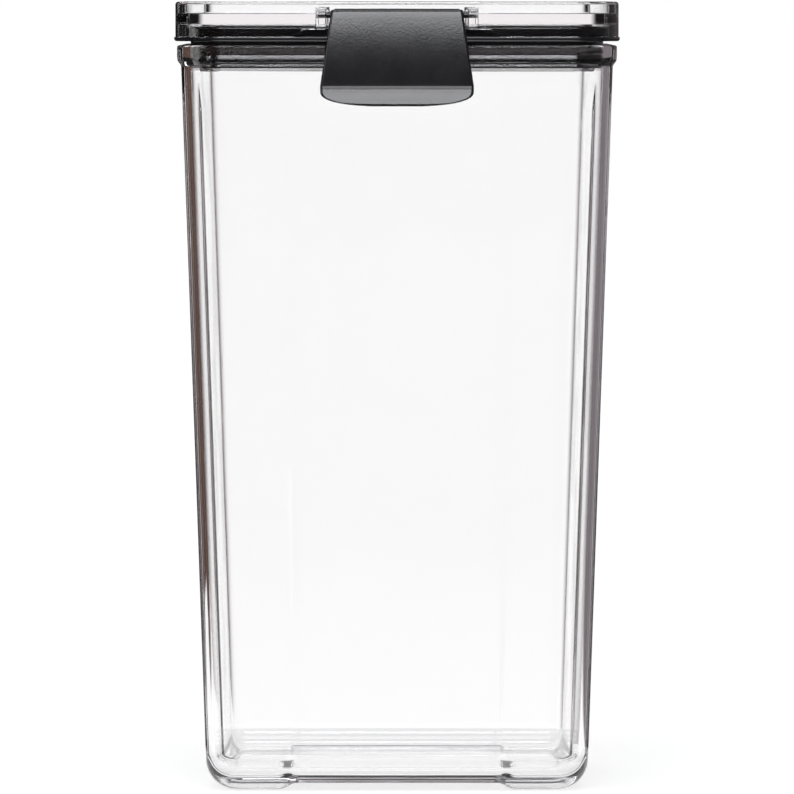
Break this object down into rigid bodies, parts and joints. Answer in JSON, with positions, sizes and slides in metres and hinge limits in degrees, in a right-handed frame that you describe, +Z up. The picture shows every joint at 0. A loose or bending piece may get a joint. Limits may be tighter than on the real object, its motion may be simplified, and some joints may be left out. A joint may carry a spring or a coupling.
{
  "type": "food storage canister",
  "caption": "Tall square clear plastic food canister with a clear lid, a black lip seal and hinged clips that snap under the rim.",
  "frame": {"origin": "centre of the base, on the surface that the canister stands on", "axes": "+Z up through the middle of the lid, -Y towards the front clip, +X to the right as seen from the front"},
  "size_m": [0.1062, 0.117, 0.1884],
  "materials": {
    "body_plastic": "clear, polished",
    "lid_plastic": "clear, polished",
    "seal_rubber": "smooth, satin",
    "clip_plastic": "fine matte grain"
  },
  "bodies": {
    "canister": {"body": "body_plastic"},
    "lid": {"lid": "lid_plastic", "seal": "seal_rubber"},
    "front_clip": {"front_clip": "clip_plastic"},
    "rear_clip": {"rear_clip": "clip_plastic"}
  },
  "joints": [
    {"name": "lid_lift", "type": "slide", "parent": "canister", "child": "lid", "axis": [0, 0, 1], "range_m": [0, 0.1]},
    {"name": "front_clip_hinge", "type": "hinge", "parent": "lid", "child": "front_clip", "pos_m": [0, -0.0511, 0.1852], "axis": [-1, 0, 0], "range_deg": [-3.4, 105]},
    {"name": "rear_clip_hinge", "type": "hinge", "parent": "lid", "child": "rear_clip", "pos_m": [0, 0.0511, 0.1852], "axis": [1, 0, 0], "range_deg": [-3.4, 105]}
  ]
}
